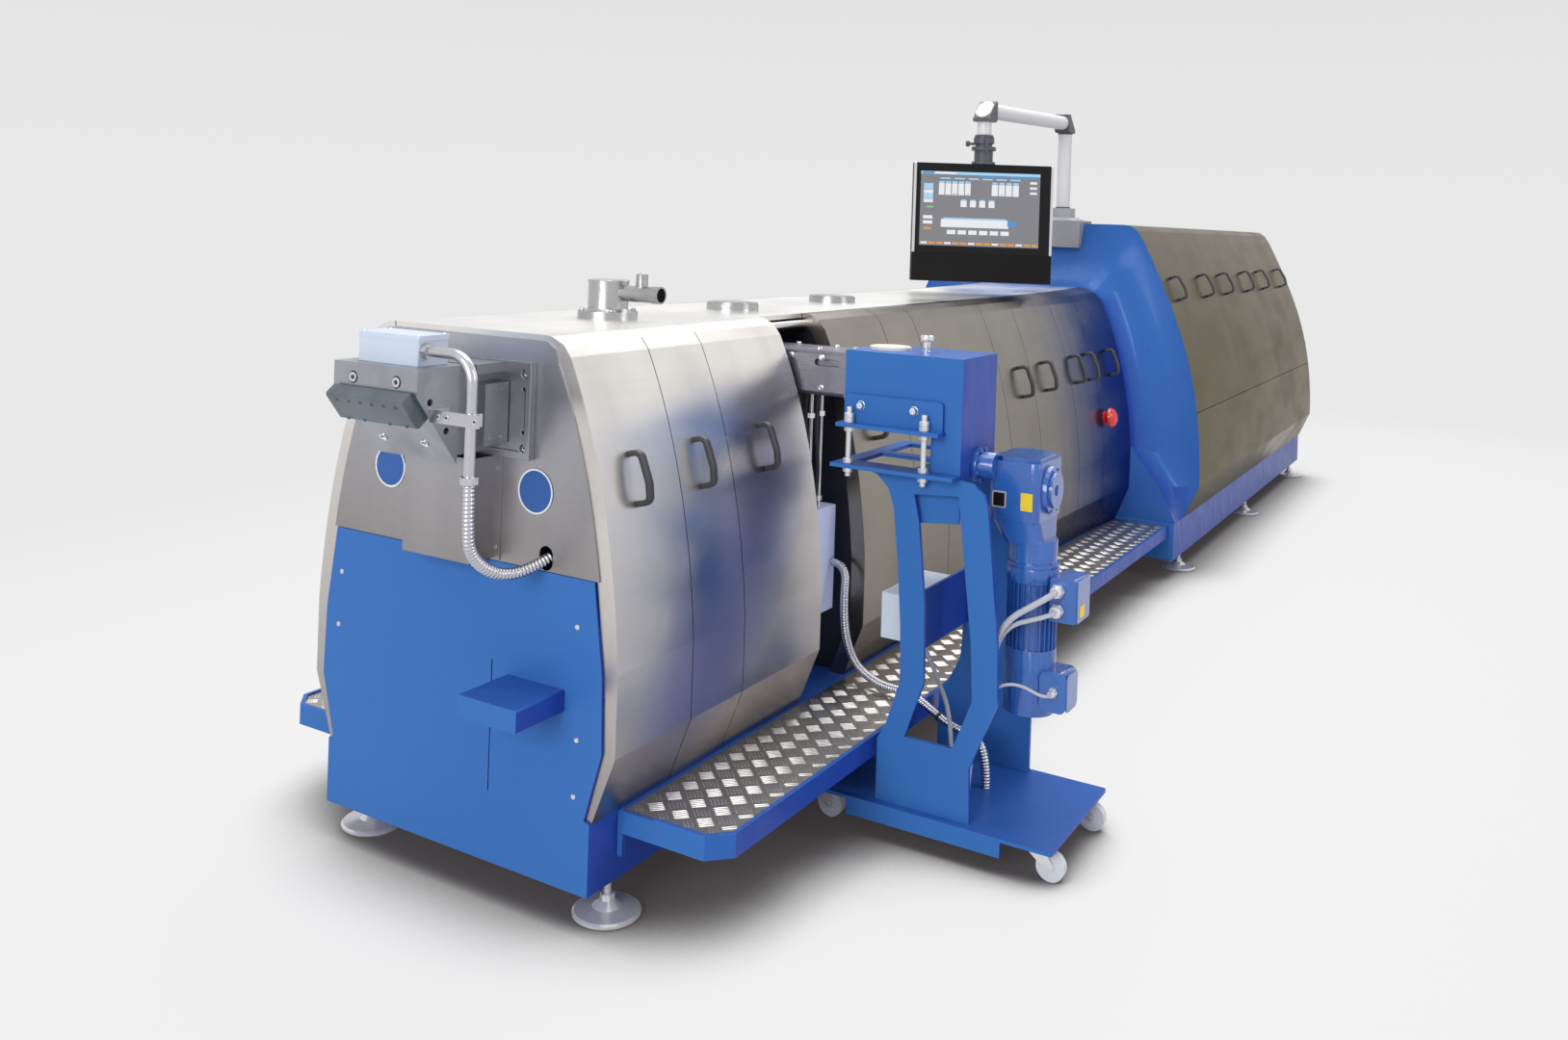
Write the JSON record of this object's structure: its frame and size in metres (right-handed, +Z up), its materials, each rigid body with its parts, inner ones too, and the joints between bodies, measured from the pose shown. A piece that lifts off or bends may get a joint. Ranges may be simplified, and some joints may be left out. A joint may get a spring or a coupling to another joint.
{
  "type": "plastic extruder",
  "caption": "Long plastic extruder under steel hood covers, with blue base and cove cover, slanted outlet die, docked side feeder on a wheeled stand, side steps and a screen on a swivel arm.",
  "frame": {"origin": "middle of the bounding box on the floor under the levelling feet", "axes": "+X from the outlet die to the motor end, +Y across towards the back, -Y the operator's side, +Z up"},
  "size_m": [7.5146, 2.035, 2.1939],
  "materials": {
    "blue_paint": "semi-gloss machine enamel",
    "wall_steel": "brushed stainless plate",
    "dark_inside": "flat dark",
    "cover_steel": "brushed stainless sheet",
    "handle_black": "fine grained plastic",
    "checker_plate": "five-bar checker plate, mill finish",
    "zinc_plated": "zinc plated, dull",
    "machined_steel": "machined and slightly tarnished steel",
    "die_steel": "dark heat-tinted tool steel",
    "grey_enamel": "light grey powder coat",
    "sign_blue": "printed sheet",
    "stop_red": "moulded plastic",
    "arm_grey": "light grey powder coat",
    "elbow_grey": "dark grey powder coat",
    "black_housing": "black powder coat",
    "screen_glass": "dark polished screen",
    "wheel_grey": "moulded tread",
    "cable_grey": "smooth sheath"
  },
  "bodies": {
    "machine": {"machine_base": "blue_paint", "front_panel": "blue_paint", "coupling_stub": "blue_paint", "front_wall": "wall_steel", "inner_body": "dark_inside", "front_covers": "cover_steel", "top_plate": "cover_steel", "mid_covers": "cover_steel", "blue_cover": "blue_paint", "rear_covers": "cover_steel", "rear_roof": "cover_steel", "rear_wall": "cover_steel", "bow_handles": "handle_black", "step_treads": "checker_plate", "step_frames": "blue_paint", "levelling_feet": "zinc_plated", "vent_stack": "machined_steel", "blank_flanges": "machined_steel", "outlet_flange": "machined_steel", "die_adapter": "machined_steel", "die_block": "machined_steel", "die_plate": "die_steel", "heater_box": "grey_enamel", "conduit_pipe": "zinc_plated", "conduit_hose": "zinc_plated", "outlet_shield": "wall_steel", "sign_discs": "sign_blue", "barrel_section": "machined_steel", "side_barrel": "machined_steel", "gap_cabinet": "grey_enamel", "gap_tubes": "zinc_plated", "emergency_stop": "stop_red", "arm_pedestal": "arm_grey", "feeder_gearbox": "blue_paint", "feeder_bracket": "blue_paint", "feeder_stand": "blue_paint", "caster_forks": "zinc_plated", "caster_wheels": "wheel_grey", "feeder_box": "grey_enamel", "bevel_unit": "blue_paint", "drive_motor": "blue_paint", "feeder_cables": "cable_grey", "feeder_hose": "zinc_plated"},
    "arm": {"arm_tubes": "arm_grey", "arm_elbows": "elbow_grey"},
    "panel": {"panel_coupling": "elbow_grey", "screen_housing": "black_housing", "screen_glass": "screen_glass", "operating_box": "black_housing"}
  },
  "joints": [
    {"name": "arm_swivel", "type": "hinge", "parent": "machine", "child": "arm", "pos_m": [0.57723, 0.1215, 1.724], "axis": [0, 0, 1], "range_deg": [-90, 90]},
    {"name": "panel_swivel", "type": "hinge", "parent": "arm", "child": "panel", "pos_m": [-0.48777, 0.1215, 2], "axis": [0, 0, 1], "range_deg": [-121, 59]}
  ]
}
